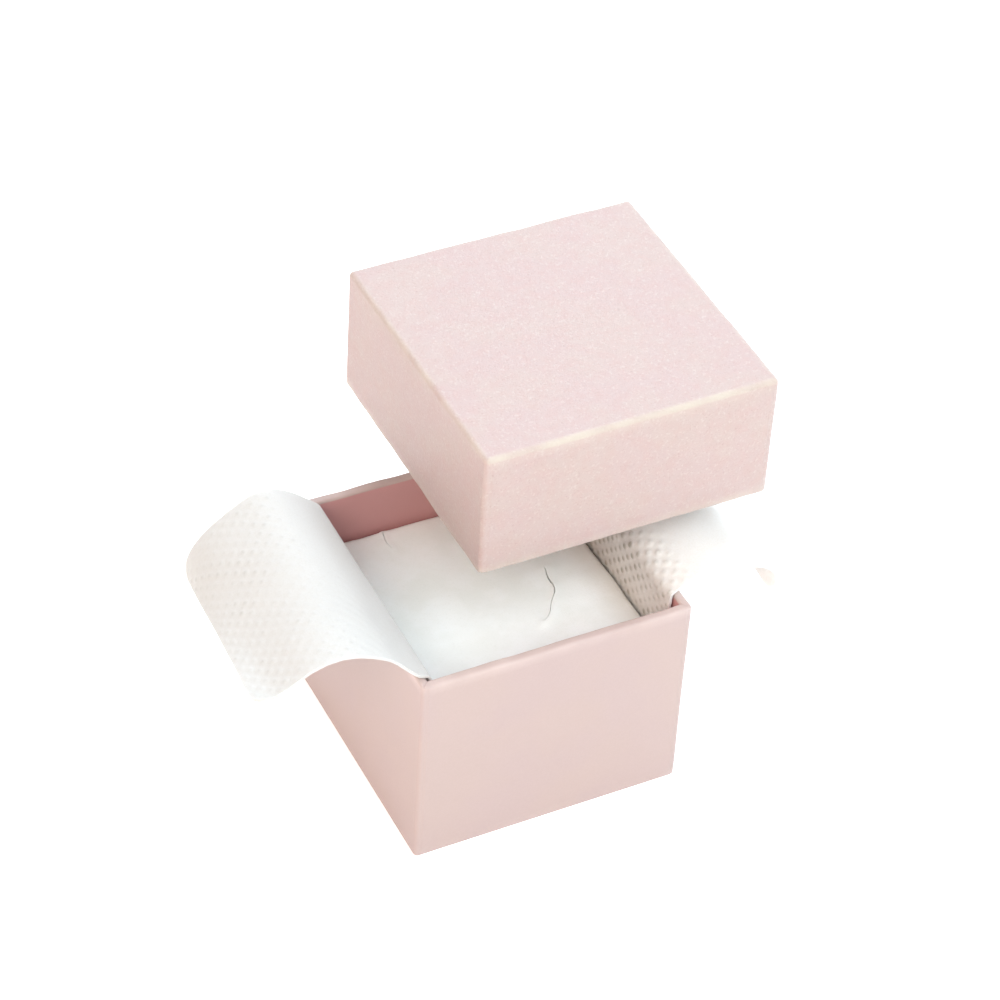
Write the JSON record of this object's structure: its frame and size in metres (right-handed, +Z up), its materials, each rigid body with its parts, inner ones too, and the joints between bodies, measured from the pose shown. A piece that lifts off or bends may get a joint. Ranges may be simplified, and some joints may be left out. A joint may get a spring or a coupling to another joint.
{
  "type": "ring gift box",
  "caption": "Small square paper-covered board gift box with a lift-off lid, a slit foam pad and a padded strip whose ends drape over the side walls.",
  "frame": {"origin": "centre of the tray's underside", "axes": "+Z up, out of the tray's open top; +X along the front wall to the right; +Y from the front wall to the back wall"},
  "size_m": [0.0977, 0.0652, 0.0747],
  "materials": {
    "base_paper": "smooth matt pink cover paper",
    "base_liner_paper": "matt pink liner paper",
    "lid_paper": "fine-grained pearly pink cover paper",
    "lid_liner_paper": "matt pink liner paper",
    "greyboard": "bare grey board",
    "kraft_tape": "brown paper tape",
    "foam": "soft white open-cell foam",
    "pad_cloth": "soft white non-woven cloth",
    "embossed_foam": "white foam sheet with a pressed diamond pattern"
  },
  "bodies": {
    "base": {"base_wrap": "base_paper", "base_board": "greyboard", "base_floor_liner": "base_liner_paper", "base_corner_stay_front_left": "kraft_tape", "base_corner_stay_front_right": "kraft_tape", "base_corner_stay_back_right": "kraft_tape", "base_corner_stay_back_left": "kraft_tape", "liner_strip": "embossed_foam"},
    "lid": {"lid_wrap": "lid_paper", "lid_board": "greyboard", "lid_top_liner": "lid_liner_paper", "lid_corner_stay_front_left": "kraft_tape", "lid_corner_stay_front_right": "kraft_tape", "lid_corner_stay_back_right": "kraft_tape", "lid_corner_stay_back_left": "kraft_tape"},
    "pad": {"pad_foam": "foam", "pad_cover": "pad_cloth"},
    "left_flap": {"liner_left_flap": "embossed_foam"},
    "right_flap": {"liner_right_flap": "embossed_foam"}
  },
  "joints": [
    {"name": "lid_lift", "type": "slide", "parent": "base", "child": "lid", "axis": [0, 0, 1], "range_m": [0, 0.05]},
    {"name": "pad_lift", "type": "slide", "parent": "base", "child": "pad", "axis": [0, 0, 1], "range_m": [0, 0.009]},
    {"name": "left_flap_fold", "type": "hinge", "parent": "base", "child": "left_flap", "pos_m": [-0.0226, 0, 0.0407], "axis": [0, 1, 0], "range_deg": [0, 80]},
    {"name": "right_flap_fold", "type": "hinge", "parent": "base", "child": "right_flap", "pos_m": [0.0226, 0, 0.0407], "axis": [0, -1, 0], "range_deg": [0, 25]}
  ]
}
